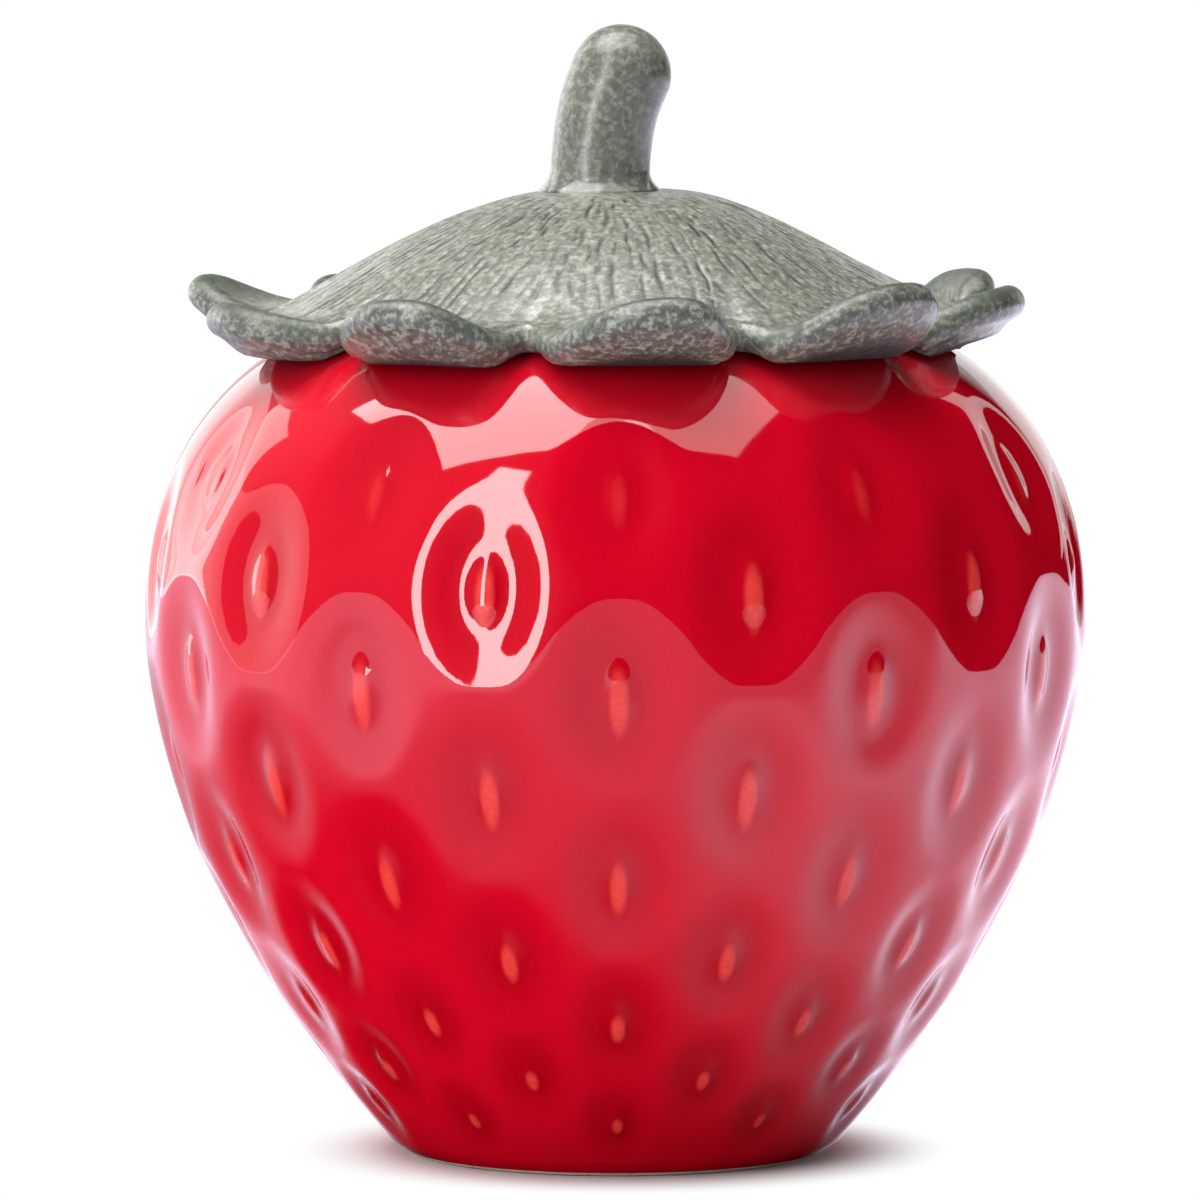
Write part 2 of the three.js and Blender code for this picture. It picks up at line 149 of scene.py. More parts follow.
class Sheet:
    def __init__(self, owner):
        owner.use_nodes = True
        self.tree = owner.node_tree
        self.tree.nodes.clear()

    # any node: its type, its settings, and the values or wires of its sockets
    def node(self, kind, settings=None, sockets=None, out=0):
        made = self.tree.nodes.new(kind)
        for name, value in (settings or {}).items():
            setattr(made, name, value)
        for name, value in (sockets or {}).items():
            if isinstance(value, Wire):
                self.tree.links.new(value.socket, made.inputs[name])
            else:
                made.inputs[name].default_value = value
        return Wire(self, made.outputs[out]) if made.outputs else None

    def mark(self, name):
        return self.node("ShaderNodeAttribute", {"attribute_name": name}, out="Fac")

    def noise(self, where, scale, detail=2.0, roughness=0.5):
        sockets = {"Vector": where, "Scale": scale, "Detail": detail, "Roughness": roughness}
        return self.node("ShaderNodeTexNoise", None, sockets)

    # noise that goes from 0 to 1 between two of its levels
    def pattern(self, where, scale, detail, low, high):
        return self.noise(where, scale, detail).between(low, high)

    def blend(self, share, first, second):
        return self.node("ShaderNodeMix", {"data_type": "RGBA"}, {0: share, 6: first, 7: second}, 2)

    def vector(self, operation, first, second=(0.0, 0.0, 0.0)):
        return self.node("ShaderNodeVectorMath", {"operation": operation}, {0: first, 1: second})

    def length(self, where):
        return self.vector("LENGTH", where).other("Value")

    # the X and Y of a vector
    def plan(self, where):
        across = self.node("ShaderNodeSeparateXYZ", None, {0: where}, out="X")
        return across, across.other("Y")

    # whether a ray comes straight from the camera, or by way of a mirroring surface
    def rays(self):
        direct = self.node("ShaderNodeLightPath", out="Is Camera Ray")
        return direct, direct.other("Is Glossy Ray") + direct.other("Is Transmission Ray")

    def bump(self, height, strength, distance):
        sockets = {"Height": height, "Strength": strength, "Distance": distance}
        return self.node("ShaderNodeBump", None, sockets)

    def glaze(self, base, roughness, normal, **constants):
        sockets = {"Base Color": base, "Roughness": roughness, "Normal": normal}
        sockets.update({name.replace("_", " "): value for name, value in constants.items()})
        shader = self.node("ShaderNodeBsdfPrincipled", None, sockets)
        self.node("ShaderNodeOutputMaterial", None, {"Surface": shader})


def newFinish(name):
    finish = bpy.data.materials.new(name)
    sheet = Sheet(finish)
    return finish, sheet, sheet.node("ShaderNodeTexCoord", out="Object")


# a colour as a paint chart gives it, 0 to 255
def chart(red, green, blue):
    shares = [c / 255 for c in (red, green, blue)]
    return (*[c / 12.92 if c < 0.04 else ((c + 0.055) / 1.055) ** 2.4 for c in shares], 1.0)


# in the looks, a pattern is its scale, its detail and the two levels it rises between,
# and a relief is its strength and its height in metres
redGlazeLook = {
    "body": chart(193, 4, 31),
    "pool": chart(164, 1, 20),  # thicker glaze in the dimples, and painted shade there
    "thin": chart(226, 70, 62),  # glaze drawn thin over the seeds
    "freckle": chart(212, 27, 43),
    "cloud": (55, 3, 0.3, 0.7),
    "grain": (1400, 2, 0.35, 0.75),
    "rippleScale": 120,
    "ripple": (0.06, 0.0004),
    "roughness": 0.035,
    "refraction": 1.58,
}


def makeRedGlaze():
    look = redGlazeLook
    finish, sheet, where = newFinish("redGlaze")
    hollow, streak = sheet.mark("hollow"), sheet.mark("streak")
    cloud = sheet.pattern(where, *look["cloud"])
    grain = sheet.pattern(where, *look["grain"])
    # the dimples darken with pooling glaze and painted shade
    base = sheet.blend(hollow * 0.55 + cloud * 0.22, look["body"], look["pool"])
    thinness = streak.between(0.1, 0.9) * (0.65 + grain * 0.25)
    base = sheet.blend(thinness, base, look["thin"])
    base = sheet.blend(grain * 0.10, base, look["freckle"])
    roughness = look["roughness"] + cloud * 0.012 + grain * 0.012
    ripple = sheet.bump(sheet.noise(where, look["rippleScale"]), *look["ripple"])
    sheet.glaze(base, roughness, ripple, IOR=look["refraction"])
    return finish


creamGlazeLook = {
    "body": chart(236, 230, 217),
    "stain": chart(214, 203, 182),
    "cloud": (40, 4, 0.35, 0.75),
    "pinholes": (700, 1, 0.22, 0.30),
    "waveScale": 160,
    "relief": (0.12, 0.0003),
    "roughness": 0.10,
    "refraction": 1.5,
}


def makeCreamGlaze():
    look = creamGlazeLook
    finish, sheet, where = newFinish("creamGlaze")
    cloud = sheet.pattern(where, *look["cloud"])
    pinholes = 1 - sheet.pattern(where, *look["pinholes"])
    base = sheet.blend(cloud * 0.5 + pinholes * 0.5, look["body"], look["stain"])
    relief = sheet.noise(where, look["waveScale"]) - pinholes * 0.6
    roughness = look["roughness"] + cloud * 0.05 + pinholes * 0.3
    sheet.glaze(base, roughness, sheet.bump(relief, *look["relief"]), IOR=look["refraction"])
    return finish


bareClayLook = {
    "body": chart(226, 214, 198),
    "grog": chart(168, 148, 128),
    "grain": (1800, 3, 0.7),  # scale, detail and coarseness
    "grogPattern": (900, 1, 0.62, 0.7),
    "relief": (0.35, 0.0002),
    "roughness": 0.78,
}


def makeBareClay():
    look = bareClayLook
    finish, sheet, where = newFinish("bareClay")
    grain = sheet.noise(where, *look["grain"])
    grog = sheet.pattern(where, *look["grogPattern"])
    base = sheet.blend(grog * 0.6 + grain.between(0.3, 0.9) * 0.3, look["body"], look["grog"])
    sheet.glaze(base, look["roughness"] + grain * 0.15, sheet.bump(grain, *look["relief"]))
    return finish


sageGlazeLook = {
    "body": chart(116, 122, 110),
    "pale": chart(171, 173, 157),
    "dark": chart(58, 63, 51),
    "stroke": chart(36, 40, 31),  # glaze gathered in the brushed grooves, and painted shade round the stem's foot
    "thinGlazeAndShade": chart(83, 85, 85),  # where the glaze thins on the sepals' faces, with painted shade on their lower faces and under them
    "deep": chart(42, 37, 34),  # painted shade under the sepals
    "bare": chart(152, 140, 124),  # unglazed spigot and hollow
    "rim": chart(46, 57, 38),  # greener and thicker along the sepals' edges and the stem's tip
    "speck": (1050, 3, 0.6),  # scale, detail and coarseness
    "fleck": (850, 3, 0.6),
    "cloud": (70, 3, 0.3, 0.7),
    "reliefHeight": 0.0003,
    "refraction": 1.52,
}


# the mark "under" goes from 0 on top to 1 at the lower edge, 2 under the sepals and 3 on the spigot
def makeSageGlaze(name, roughness, grain, speckle):
    look = sageGlazeLook
    finish, sheet, where = newFinish(name)
    under, stroke, rim, pool = [sheet.mark(mark) for mark in ("under", "stroke", "rim", "pool")]
    underShade, unglazed = under.between(1.0, 1.6), under.between(2.0, 3.0)
    speck = sheet.noise(where, *look["speck"])
    fleck = sheet.noise(where, *look["fleck"])
    cloud = sheet.pattern(where, *look["cloud"])
    pale = speck.between(0.44, 0.64) * speckle
    dark = (1 - fleck.between(0.36, 0.54)) * speckle
    # thinner glaze and painted shade darken the sepals' lower faces and what lies under them
    base = sheet.blend(under * 0.85, look["body"], look["thinGlazeAndShade"])
    base = sheet.blend(rim * 0.85, base, look["rim"])
    base = sheet.blend(pale * (0.6 - rim * 0.5), base, look["pale"])
    base = sheet.blend(dark * (0.4 + cloud * 0.25), base, look["dark"])
    # the combed grooves, and painted shade round the stem's foot
    base = sheet.blend(stroke.between(0.1, 0.9) * 0.85, base, look["stroke"])
    # painted shade under the sepals
    base = sheet.blend(underShade * 0.9, base, look["deep"])
    base = sheet.blend(unglazed * (0.85 + speck * 0.15), base, look["bare"])
    relief = (speck * 0.6 + fleck * 0.4) * (1 - pool * 0.8) - stroke * 0.4
    dullness = roughness * (1 - pool * 0.6) + speck * 0.08 + dark * 0.06 + rim * 0.16 + underShade * 0.4
    sheet.glaze(base, dullness, sheet.bump(relief, grain, look["reliefHeight"]), IOR=look["refraction"])
    return finish


siliconeLook = {
    "body": chart(228, 226, 219),
    "dust": chart(206, 203, 194),
    "grainScale": 1500,
    "cloud": (90, 2, 0.4, 0.7),
    "relief": (0.1, 0.0002),
    "roughness": 0.5,
    "milkiness": 0.15,
}


def makeSilicone():
    look = siliconeLook
    finish, sheet, where = newFinish("silicone")
    grain = sheet.noise(where, look["grainScale"])
    cloud = sheet.pattern(where, *look["cloud"])
    base = sheet.blend(cloud * 0.6, look["body"], look["dust"])
    relief = sheet.bump(grain, *look["relief"])
    sheet.glaze(base, look["roughness"] + grain * 0.15, relief, Subsurface_Weight=look["milkiness"])
    return finish


redGlaze = makeRedGlaze()
creamGlaze = makeCreamGlaze()
bareClay = makeBareClay()
calyxGlaze = makeSageGlaze("calyxGlaze", roughness=0.25, grain=0.17, speckle=1.0)
stemGlaze = makeSageGlaze("stemGlaze", roughness=0.21, grain=0.13, speckle=0.72)
silicone = makeSilicone()
print("finishes ready")

berry = {
    "bellyRadius": 65.0,
    "bellyHeight": 75.0,
    "flankFootRadius": 29.6,
    "flankPower": 1.92,
    "shoulderTopRadius": 27.0,
    "shoulderRise": 41.5,
    "shoulderPower": 2.1,
    "footRadius": 28.4,
    "footEdge": 2.0,  # height where the flank begins
    "footRing": 4.6,
    # past the foot ring's inner radius, and height, from the recess down to where it stands
    "footInside": [(-2.0, 1.6), (-0.7, 1.25), (-0.2, 0.4), (0.4, 0.0)],
    # past its outer radius, and height, up to the flank
    "footOutside": [(-0.5, 0.0), (0.15, 0.12), (0.8, 0.5), (1.9, 1.2)],
    "wall": 4.8,
    "neckThickening": 3.8,
    "neckStart": 60.0,  # radius where the wall begins to thicken
    "neckDepth": 7.6,
    "neckRound": 0.6,
    "neckClear": 0.4,
    "mouthRadius": 37.0,
    "rimRadius": 42.2,
    "rimTop": 113.75,
    # past the rim's outer radius and past the mouth's, and the drop from the top
    "rimOutside": [(-0.5, 0.05), (-1.1, 0.0)],
    "rimInside": [(1.5, 0.0), (0.7, 0.2), (0.2, 0.65), (0.0, 1.4)],
    "rimLine": 1.0,  # the red ends this far outside the mouth
    "floorTop": 6.6,
    "floorRadius": 24.0,
    "cornerStart": 20.0,  # height where the wall turns into the floor
    "cornerPull": 0.32,
    "columns": 11,
    "rows": 9,
    "rowsUp": 1.574,  # the top row lies this many rows above the belly
    "rowsDown": 7.5,  # and the foot this many below it
    "topRow": 0.75,  # depth of the top row, which fades into the shoulder
    "latticeTurn": 0.35,
    # widths and lengths are those at the belly, and shrink with the girth
    "dishSize": (20.4, 31.4),
    "dishDepth": 2.06,
    "dishPower": 2.0,
    "moundSize": (9.6, 15.8),  # low swelling that carries the seed
    "moundHeight": 0.7,
    "moundPower": 1.6,
    "seedSize": (4.7, 9.8),
    "seedHeight": 0.5,
    "seedTaper": 0.18,
    "streakSize": (3.6, 12.0),  # where the glaze runs thin, a little below the seed's middle
    "streakDrop": 1.2,
    "lowRows": (3.0, 8.0),  # the rows over which the dimples change towards the foot
    "lowSeeds": 0.42,  # how much shorter the thin streaks get there
    "lowDepth": 0.2,  # how much shallower the dimples get
    "lowPower": 0.2,  # and how much fuller
    "lowPoolAndShade": 1.2,  # how much more glaze pools in them and painted shade darkens them
    "lowPoolAndShadeRows": (1.5, 5.5),  # counted down from the belly
    "linesPerHalfColumn": 18,
    "bunching": 0.55,  # how closely the lines gather at the seeds
    "ringsPerRow": 15,
    "insideRings": 48,
    "cornerRings": 9,
    "skinSamples": 6000,
}


def skinRadius(height):
    low = np.clip(1 - height / berry["bellyHeight"], 0, None) ** berry["flankPower"]
    flank = berry["bellyRadius"] - (berry["bellyRadius"] - berry["flankFootRadius"]) * low
    rise = np.clip((height - berry["bellyHeight"]) / berry["shoulderRise"], 0, 1)
    reach = (1 - rise ** berry["shoulderPower"]) ** (1 / berry["shoulderPower"])
    shoulder = berry["shoulderTopRadius"] + (berry["bellyRadius"] - berry["shoulderTopRadius"]) * reach
    return np.where(height < berry["bellyHeight"], flank, shoulder)


def shoulderHeight(radius):
    reach = (radius - berry["shoulderTopRadius"]) / (berry["bellyRadius"] - berry["shoulderTopRadius"])
    rise = (1 - reach ** berry["shoulderPower"]) ** (1 / berry["shoulderPower"])
    return berry["bellyHeight"] + berry["shoulderRise"] * rise


# the way up the skin in units of its local radius, so that dimples shrink with the girth
skinHeights = np.linspace(berry["footEdge"], shoulderHeight(berry["rimRadius"]), berry["skinSamples"])
skinRadii = skinRadius(skinHeights)
skinSteps = np.hypot(np.diff(skinRadii), np.diff(skinHeights))
skinClimb = np.concatenate([[0], np.cumsum(skinSteps / (skinRadii[1:] + skinRadii[:-1]) * 2)])
skinClimb -= np.interp(berry["bellyHeight"], skinHeights, skinClimb)
skinSlope = np.gradient(skinRadii, skinHeights)


# profile of the skin at a climb, set in along its normal
def skinPoint(climb, inset):
    height = np.interp(climb, skinClimb, skinHeights)
    slope = np.interp(climb, skinClimb, skinSlope)
    unit = 1 / np.hypot(1, slope)
    return skinRadius(height) - inset * unit, height + inset * slope * unit


# an oval swelling, 1 in the middle and 0 from its edge on
def swell(across, along, width, length, power=1.0):
    oval = 1 - (2 * across / width) ** 2 - (2 * along / length) ** 2
    return np.clip(oval, 0, 1) ** power


# how far each point lies in its dimple, on the mound, on the seed and in its streak, each 0 to 1
def dimplesAt(turns, climb, rowClimb):
    column = fullTurn / berry["columns"]
    seedWidth, seedLength = berry["seedSize"]
    streakWidth, streakLength = berry["streakSize"]
    hollow, mound, seed, streak = np.zeros((4, len(turns)))
    for row in range(berry["rows"]):
        depth = 1.0 if row else berry["topRow"]
        low = float(ease(row, *berry["lowRows"]))
        along = (climb - (berry["rowsUp"] - row) * rowClimb) * berry["bellyRadius"]
        shift = turns - math.radians(berry["latticeTurn"]) - column / 2 * (row % 2)
        across = (shift - np.round(shift / column) * column) * berry["bellyRadius"]
        dish = swell(across, along, *berry["dishSize"], berry["dishPower"] - berry["lowPower"] * low)
        hollow += depth * (1 - berry["lowDepth"] * low) * dish
        mound += depth ** 2 * swell(across, along, *berry["moundSize"], berry["moundPower"])
        taper = 1 - berry["seedTaper"] * np.clip(along / seedLength, -0.5, 0.5)
        seed += depth ** 2 * swell(across, along, seedWidth * taper, seedLength)
        length = streakLength * (1 - berry["lowSeeds"] * low)
        streak += depth ** 3 * swell(across, along + berry["streakDrop"], streakWidth, length)
    return hollow, mound, seed, streak


# radii and heights inside, from the neck down to the middle of the floor
def berryInside(neckEnd):
    inside = []
    lastClimb = np.interp(berry["cornerStart"], skinHeights, skinClimb)
    for climb in np.linspace(skinClimb[-1], lastClimb, berry["insideRings"]):
        outer = float(skinPoint(climb, 0)[0])
        neck = 0.0
        if climb > 0:
            neck = berry["neckThickening"] * ease(outer, berry["neckStart"], berry["rimRadius"])
        radius, height = skinPoint(climb, berry["wall"] + neck)
        if radius > berry["mouthRadius"] + berry["neckClear"] and height < neckEnd:
            inside.append((float(radius), float(height)))
    lastRadius, lastHeight = inside[-1]
    floor, floorRadius = berry["floorTop"], berry["floorRadius"]
    corner = lastRadius - (lastHeight - floor) * berry["cornerPull"]
    for share in np.linspace(0, 1, berry["cornerRings"] + 1)[1:]:
        rest = 1 - share
        inward = rest ** 2 * lastRadius + 2 * share * rest * corner + share ** 2 * floorRadius
        inside.append((inward, rest ** 2 * lastHeight + (1 - rest ** 2) * floor))
    return inside + [(floorRadius * 2 / 3, floor), (floorRadius / 3, floor)]


def makeBerry():
    lines = berry["linesPerHalfColumn"]
    steps = np.arange(2 * berry["columns"] * lines) / lines
    bunched = steps - berry["bunching"] * np.sin(fullTurn * (steps % 1)) / fullTurn
    turns = math.radians(berry["latticeTurn"]) + bunched * math.pi / berry["columns"]
    rowClimb = -skinClimb[0] / berry["rowsDown"]
    climbs = np.linspace(skinClimb[0], skinClimb[-1],
                         round((skinClimb[-1] - skinClimb[0]) / rowClimb * berry["ringsPerRow"]))
    red, bare, cream = range(3)  # slots of the finishes
    stack = RingStack("hollow", "streak")

    # the foot ring is bare where it stands
    footInner = berry["footRadius"] - berry["footRing"]
    foot = [(footInner + past, height) for past, height in berry["footInside"]]
    foot += [(berry["footRadius"] + past, height) for past, height in berry["footOutside"]]
    stack.add(pole(foot[0][1]))
    for level, (radius, height) in enumerate(foot):
        glazed = level in (0, len(foot) - 1)
        stack.add(ringAt(turns, radius, height), red if glazed else bare)

    for climb in climbs:
        hollow, mound, seed, streak = dimplesAt(turns, climb, rowClimb)
        scale = float(skinPoint(climb, 0)[0]) / berry["bellyRadius"]
        inset = berry["dishDepth"] * hollow - berry["moundHeight"] * mound - berry["seedHeight"] * seed
        # the dimples' pooling glaze and painted shade grow towards the foot
        poolAndShade = 1 + berry["lowPoolAndShade"] * ease(-climb / rowClimb, *berry["lowPoolAndShadeRows"])
        ring = ringAt(turns, *skinPoint(climb, inset * scale))
        stack.add(ring, red, hollow=hollow * poolAndShade, streak=streak)

    rimTop, mouth = berry["rimTop"], berry["mouthRadius"]
    neckEnd = rimTop - berry["neckDepth"]
    rim = [(berry["rimRadius"] + past, rimTop - drop) for past, drop in berry["rimOutside"]]
    rim += [(mouth + past, rimTop - drop) for past, drop in berry["rimInside"]]
    rim.append((mouth, neckEnd + berry["neckRound"]))
    for radius, height in rim:
        stack.add(ringAt(turns, radius, height), red if radius > mouth + berry["rimLine"] else cream)
    for radius, height in berryInside(neckEnd):
        stack.add(ringAt(turns, radius, height), cream)
    stack.add(pole(berry["floorTop"]), cream)

    piece = loftMesh("berryJar", stack, [redGlaze, bareClay, creamGlaze])
    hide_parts("jar_body")
    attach(piece, "jar")


makeBerry()

calyx = {
    "valleyHeight": 116.6,  # low ring between the crown and the tips
    "valleyRadius": 47.5,
    "notchRadius": 46.2,
    "notchSoftness": 0.1,
    "thickness": 4.9,
    "notchThinning": 0.45,  # of half the thickness, in the notches and at the tips
    "tipThinning": 0.15,
    "crownRise": 17.5,
    "crownPower": 1.2,
    "landing": 10.6,  # level ground under the stem
    "landingEdge": 0.4,
    "landingPower": 8,
    "slump": 1.0,  # how much lower the crown lies on its right side
    "slumpRadius": 33.0,
    "slumpEnd": 46.0,
    "roundness": 2.6,
    "turn": 3.0,
    # from the front towards +X: length past the notch, lift, lean and curl of the tip,
    # and how full it is below
    "sepals": [(13.2, 9.8, 5, 2.0, 0.0), (13.2, 10.4, 4, 1.6, 0.0), (10.8, 4.9, 3, 0.65, 1.0),
               (7.6, 6.8, -7, 0.5, 0.0), (12.6, 6.4, -3, 1.6, 0.3), (13.2, 7.2, 2, 1.8, 0.3),
               (12.4, 4.6, 5, 1.6, 0.3), (14.0, 8.0, 5, 2.0, 0.3), (12.8, 3.6, 1, 1.8, 1.4),
               (13.0, 8.3, 3, 2.0, 0.9)],
    "crease": 0.9,  # groove between neighbouring sepals
    "creaseWidth": 2.4,
    "creaseReach": (35.0, 45.5),
    "leanShares": (0.0, 0.3),  # of a sepal's length, over which its lean sets in
    "fullRise": (0.0, 0.3),  # of the way back under it, where its fullness comes and goes
    "fullFall": (0.7, 0.3),
    # where the glaze and the painted shade change: shares of the way out or back, and angles round the
    # edge, 90 on top
    "rimShares": (0.55, 1.0),
    "rimAngles": (-25.0, 35.0),
    "poolAngles": (0.0, 60.0),
    "thinGlazeAndShadeAngles": (45.0, -40.0),
    "underShadeShares": (0.12, 0.6),
    "seatRadius": 42.8,
    "spigotRadius": 36.2,
    "spigotWall": 4.2,
    "spigotDepth": 9.6,
    "spigotFillet": (1.2, 1.0),
    "spigotChamfer": 0.3,
    "spigotRound": 0.9,
    "grooveDepth": 2.0,
    "grooveDrop": 2.2,
    "grooveHeight": 5.2,
    "linesPerSide": 36,
    "lineGather": 1.35,  # how closely the lines gather at the notches
    "poleRing": 4.0,  # radius of the first ring round the middle
    "crownRings": 60,
    "sepalRings": 20,
    "edgeRings": 14,
    "underRings": 14,
    "hollowRings": 12,
}

# brushed grooves that run down the crown in dashes; a pair is the range of a random draw
combing = {
    "seed": 11,
    "lines": 112,
    "depth": 0.28,
    "start": (11, 17),
    "stagger": 6,  # every other line starts this much further out
    "end": 44,
    "halfLength": (1.2, 4.6),
    "halfWidth": (0.26, 0.5),
    "strength": (0.3, 0.9),
    "gap": (-0.4, 0.9),
    "spacing": (-0.25, 0.25),
    "stray": (-0.35, 0.35),
    "bend": (0, 6.3),
    "wander": 0.14,
    "wanderRate": 1.1,
    "window": 0.12,  # turn within which a dash is worked out
    "fadeIn": (10.5, 14.0),
    "spill": 8,  # how far the dashes run on past the crown
    "fadeOut": (0.95, 0.25),
}


def crownTop(radius):
    power = calyx["landingPower"]
    level = calyx["landing"] - calyx["landingEdge"]
    kept = (np.asarray(radius, float) ** power + level ** power) ** (1 / power)
    share = np.clip(kept / calyx["valleyRadius"], 0, 1)
    return calyx["crownRise"] * (1 - share ** 2) ** calyx["crownPower"]


def crownSlump(x, radius):
    sideways = ease(x, calyx["landing"], calyx["slumpRadius"])
    return calyx["slump"] * sideways * (1 - ease(radius, calyx["slumpRadius"], calyx["slumpEnd"]))


# lines round the calyx, from the notch before each sepal over its tip towards the next notch
def calyxOutline():
    side, soft = calyx["linesPerSide"], calyx["notchSoftness"]
    sector = fullTurn / len(calyx["sepals"])
    turns, edges, lengths, lifts, curls, nears, fulls = [], [], [], [], [], [], []
    for index, (length, lift, lean, curl, full) in enumerate(calyx["sepals"]):
        middle, tip = math.radians(calyx["turn"]) + index * sector, math.radians(lean)
        for step in range(-side, side):
            near = 1 - (1 - abs(step) / side) ** calyx["lineGather"]
            turns.append(middle + tip + (math.copysign(sector / 2, step) - tip) * near)
            away = (math.hypot(1 - near, soft) - soft) / (math.hypot(1, soft) - soft)
            edges.append(calyx["notchRadius"] + length * (1 - (1 - away) ** calyx["roundness"]))
            lengths.append(length)
            lifts.append(lift)
            curls.append(curl)
            nears.append(near)
            fulls.append(full * (1 - near ** 2))
    return [np.array(values) for values in (turns, edges, lengths, lifts, curls, nears, fulls)]


# depth of the combed grooves at these turns and radii, deepest at 1
def crownStrokes(turns, radii):
    dice = np.random.default_rng(combing["seed"])
    stroke = np.zeros((len(radii), len(turns)))
    pitch = fullTurn / combing["lines"]
    for line in range(combing["lines"]):
        middleTurn = (line + dice.uniform(*combing["spacing"])) * pitch
        bend = dice.uniform(*combing["bend"])
        start = dice.uniform(*combing["start"]) + combing["stagger"] * (line % 2)
        while start < combing["end"]:
            reach = dice.uniform(*combing["halfLength"])
            width = dice.uniform(*combing["halfWidth"])
            depth = dice.uniform(*combing["strength"])
            middle = start + reach
            turn = middleTurn + dice.uniform(*combing["stray"]) / middle
            start += 2 * reach + dice.uniform(*combing["gap"])
            apart = (turns - turn + math.pi) % fullTurn - math.pi
            near = np.abs(apart) < combing["window"]
            rows = np.abs(radii - middle) < reach
            if not near.any() or not rows.any():
                continue
            out = radii[rows][:, None]
            wander = combing["wander"] * np.sin(out * combing["wanderRate"] + bend) / out
            across = (apart[near][None, :] - wander) * out
            groove = np.exp(-(across / width) ** 2) * (1 - ((out - middle) / reach) ** 4) * depth
            patch = stroke[np.ix_(rows, near)]
            stroke[np.ix_(rows, near)] = np.maximum(patch, groove)
    return stroke


# radii, and heights over the valley, of the spigot with its groove and the hollow under the crown
def spigotProfile():
    thickness = calyx["thickness"]
    seatDrop = thickness - float(crownTop(calyx["seatRadius"]))
    spigot, inner = calyx["spigotRadius"], calyx["spigotRadius"] - calyx["spigotWall"]
    filletOut, filletDown = calyx["spigotFillet"]
    chamfer, rounding = calyx["spigotChamfer"], calyx["spigotRound"]
    groove = spigot - calyx["grooveDepth"]
    grooveTop = -seatDrop - calyx["grooveDrop"]
    grooveEnd = grooveTop - calyx["grooveHeight"]
    end = -seatDrop - calyx["spigotDepth"]
    profile = [(spigot + filletOut, -seatDrop), (spigot + chamfer, -seatDrop - chamfer),
               (spigot, -seatDrop - filletDown), (spigot, grooveTop + chamfer),
               (spigot - chamfer, grooveTop), (groove, grooveTop),
               (groove, grooveEnd), (spigot - chamfer, grooveEnd),
               (spigot, grooveEnd - chamfer), (spigot, end + rounding),
               (spigot - chamfer, end + chamfer), (spigot - rounding, end),
               (inner + rounding, end), (inner + chamfer, end + chamfer), (inner, end + rounding)]
    for radius in np.linspace(inner, calyx["poleRing"], calyx["hollowRings"]):
        profile.append((radius, float(crownTop(radius)) - thickness))
    return profile


